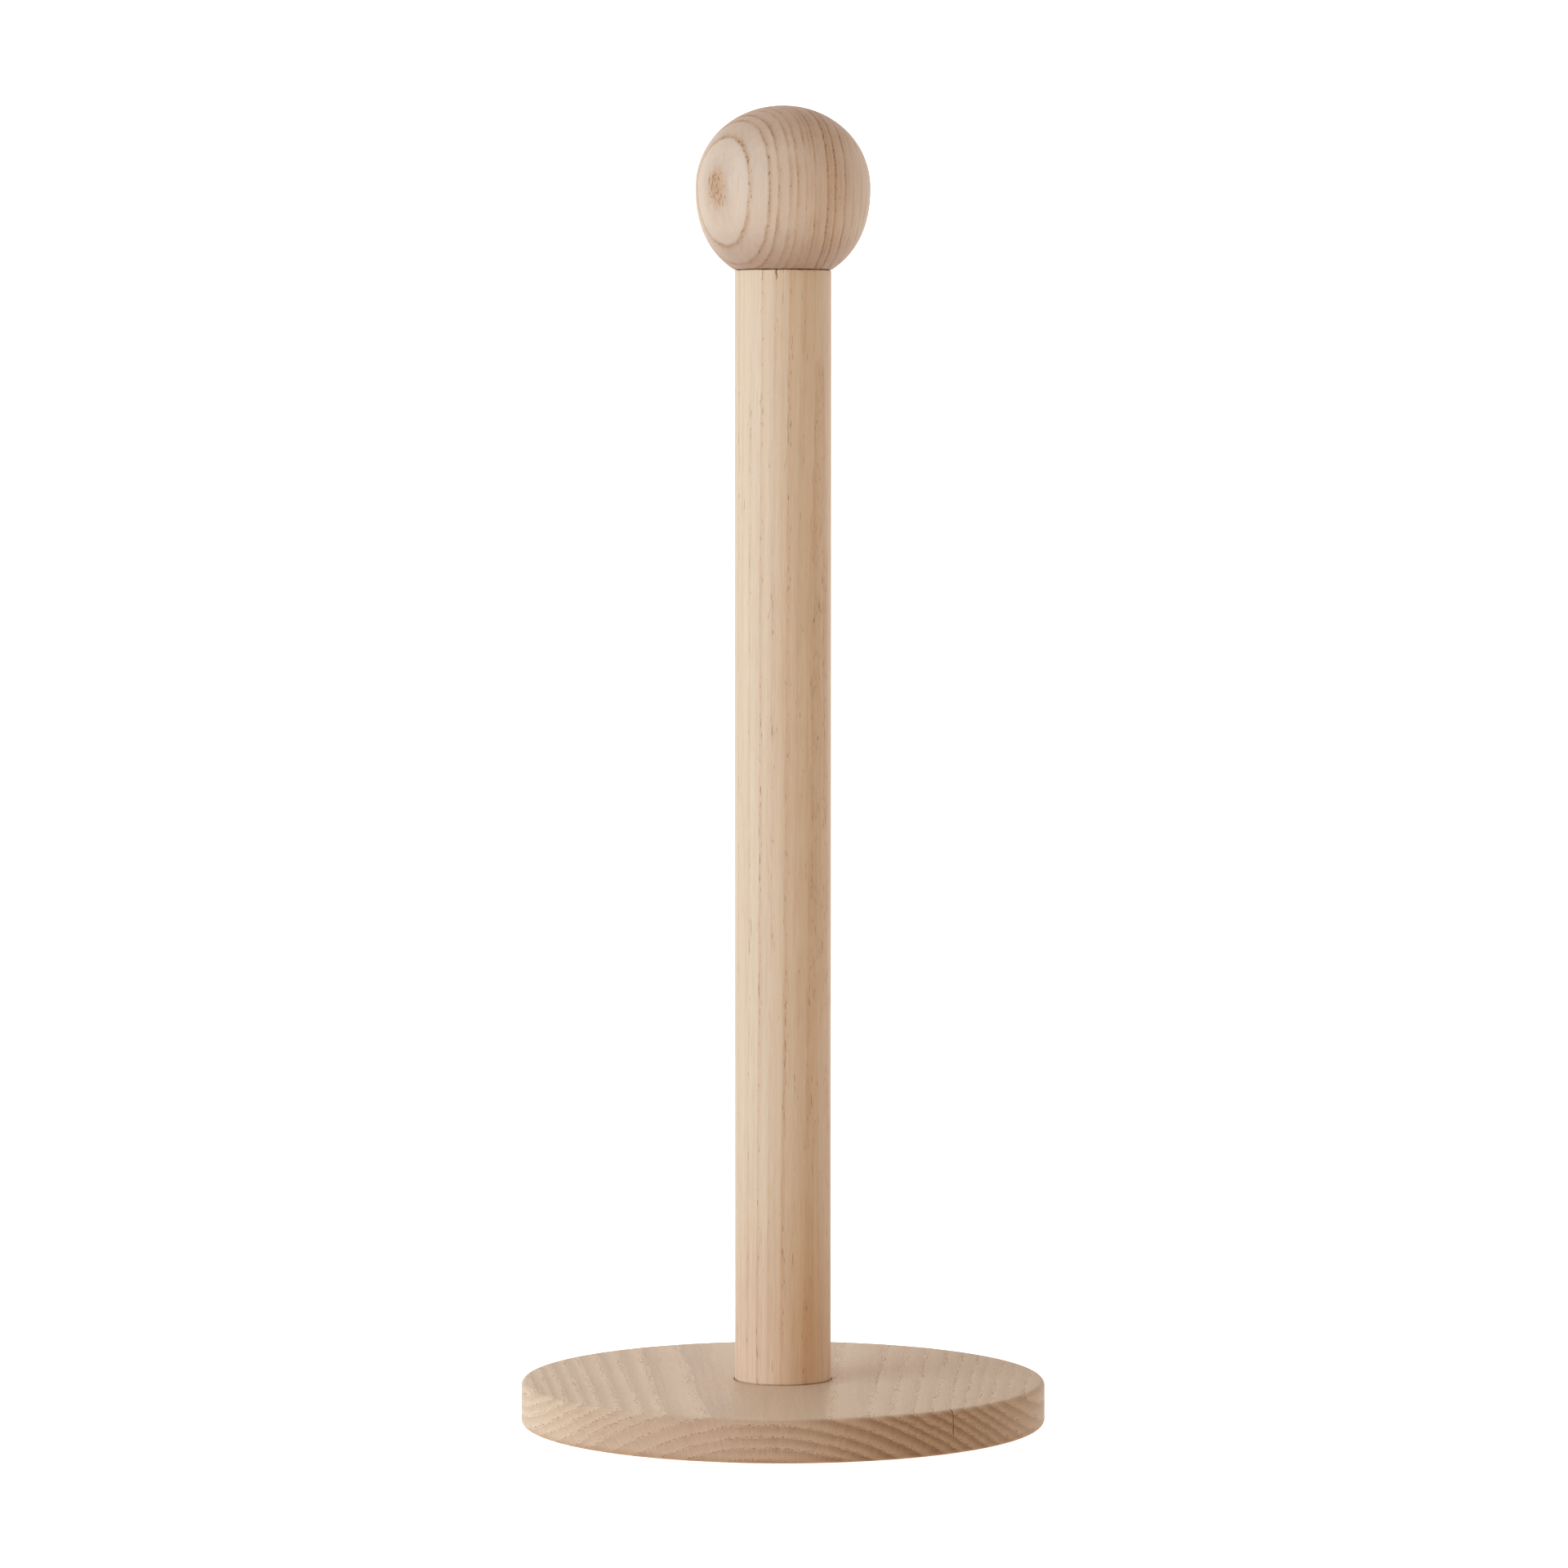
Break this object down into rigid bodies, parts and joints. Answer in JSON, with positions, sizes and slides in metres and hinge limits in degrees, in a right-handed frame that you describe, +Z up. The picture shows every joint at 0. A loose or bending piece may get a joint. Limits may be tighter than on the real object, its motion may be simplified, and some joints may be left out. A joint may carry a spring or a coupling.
{
  "type": "paper towel holder",
  "caption": "Free-standing wooden paper towel holder: a round disc base, an upright round post, and a ball finial that screws off.",
  "frame": {"origin": "on the floor plane, on the post's axis: centre of the circle the four pads stand on", "axes": "+Z up along the post's axis, towards the ball; +Y away from a viewer at the front; +X to that viewer's right"},
  "size_m": [0.12, 0.12, 0.3023],
  "materials": {
    "base_wood": "satin",
    "post_wood": "satin",
    "ball_wood": "satin",
    "zinc_steel": "satin",
    "insert_brass": "satin",
    "pad_rubber": "matte"
  },
  "bodies": {
    "holder": {"base": "base_wood", "post": "post_wood", "base_screw": "zinc_steel", "lower_insert": "insert_brass", "upper_insert": "insert_brass", "foot_pad_1": "pad_rubber", "foot_pad_2": "pad_rubber", "foot_pad_3": "pad_rubber", "foot_pad_4": "pad_rubber"},
    "stud": {"finial_stud": "zinc_steel"},
    "finial": {"finial_ball": "ball_wood"}
  },
  "joints": [
    {"name": "finial_lift", "type": "slide", "parent": "holder", "child": "stud", "axis": [0, 0, 1], "range_m": [0, 0.0138]},
    {"name": "finial_turn", "type": "hinge", "parent": "stud", "child": "finial", "pos_m": [0, 0, 0.26525], "axis": [0, 0, 1], "range_deg": [0, 4950]}
  ],
  "couplings": [
    {"joint": "finial_lift", "follows": "finial_turn", "m_per_rad": 0.00015915}
  ]
}
